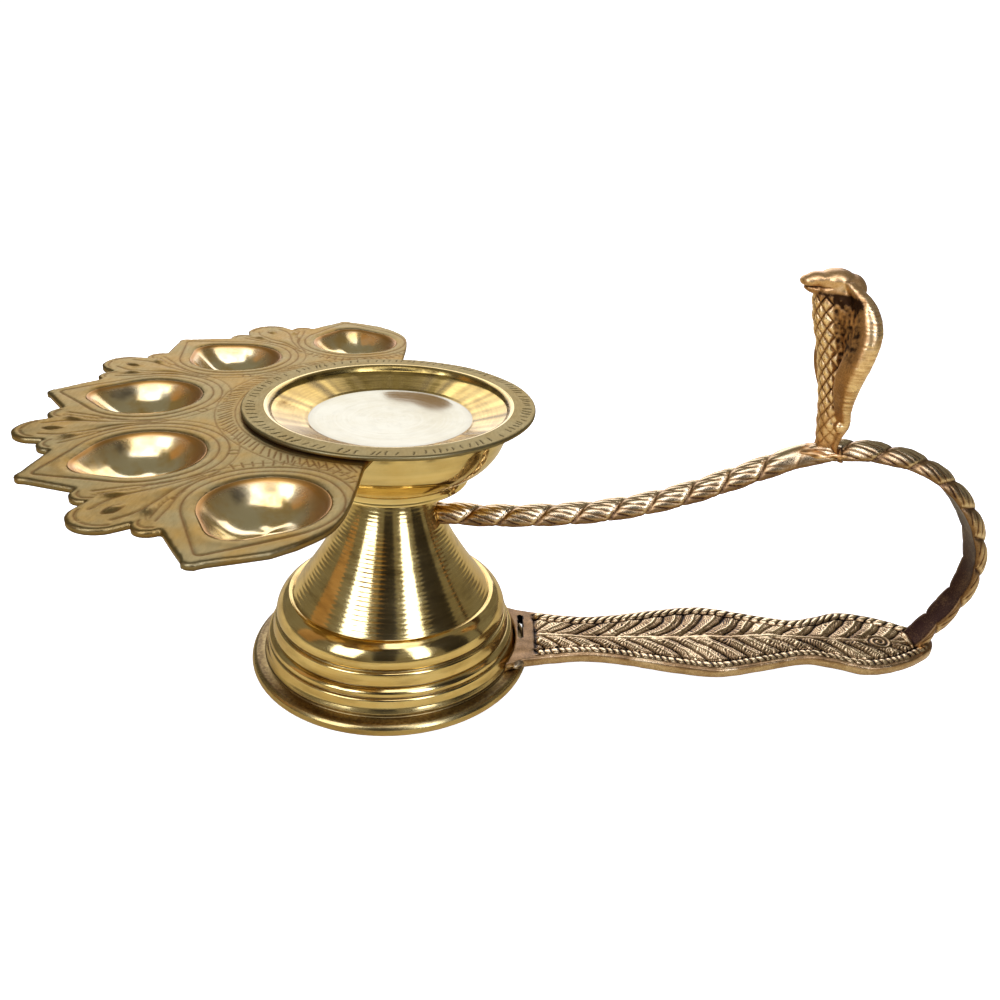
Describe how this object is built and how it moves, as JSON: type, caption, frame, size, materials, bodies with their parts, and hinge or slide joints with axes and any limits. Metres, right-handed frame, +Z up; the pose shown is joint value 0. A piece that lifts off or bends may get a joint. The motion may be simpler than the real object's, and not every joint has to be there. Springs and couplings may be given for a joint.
{
  "type": "hand aarti oil lamp",
  "caption": "Brass hand lamp: turned bowl on a hollow bell foot, a fan of pointed oil cups on one side, a rope-and-grip loop handle with a cobra on the other.",
  "frame": {"origin": "on the foot's axis, in the plane of the lip that stands on the floor", "axes": "+Z up along the foot's axis, +X from the foot along the handle, the fan of cups towards -X at rest"},
  "size_m": [0.2312, 0.153, 0.1056],
  "materials": {
    "polished_brass": "turned and polished",
    "matte_brass": "pressed, engraved and matt",
    "cup_brass": "buffed bright inside",
    "cast_brass": "cast, antique brown with rubbed highlights",
    "filler_metal": "brazed seam, as melted",
    "steel": "plain"
  },
  "bodies": {
    "foot": {"bell_foot": "polished_brass", "grip_bar": "cast_brass", "rope_bar": "cast_brass", "cobra": "cast_brass", "neck_braze": "filler_metal", "foot_braze": "filler_metal", "loop_braze": "filler_metal", "cobra_braze": "filler_metal"},
    "head": {"bowl": "polished_brass", "threaded_stud": "polished_brass", "spring_washer": "steel", "hex_nut": "polished_brass", "fan_plate": "matte_brass", "oil_cup_1": "cup_brass", "oil_cup_2": "cup_brass", "oil_cup_3": "cup_brass", "oil_cup_4": "cup_brass", "oil_cup_5": "cup_brass", "fan_braze": "filler_metal"}
  },
  "joints": [
    {"name": "head_turn", "type": "hinge", "parent": "foot", "child": "head", "pos_m": [0, 0, 0.0512], "axis": [0, 0, 1], "continuous": true}
  ]
}
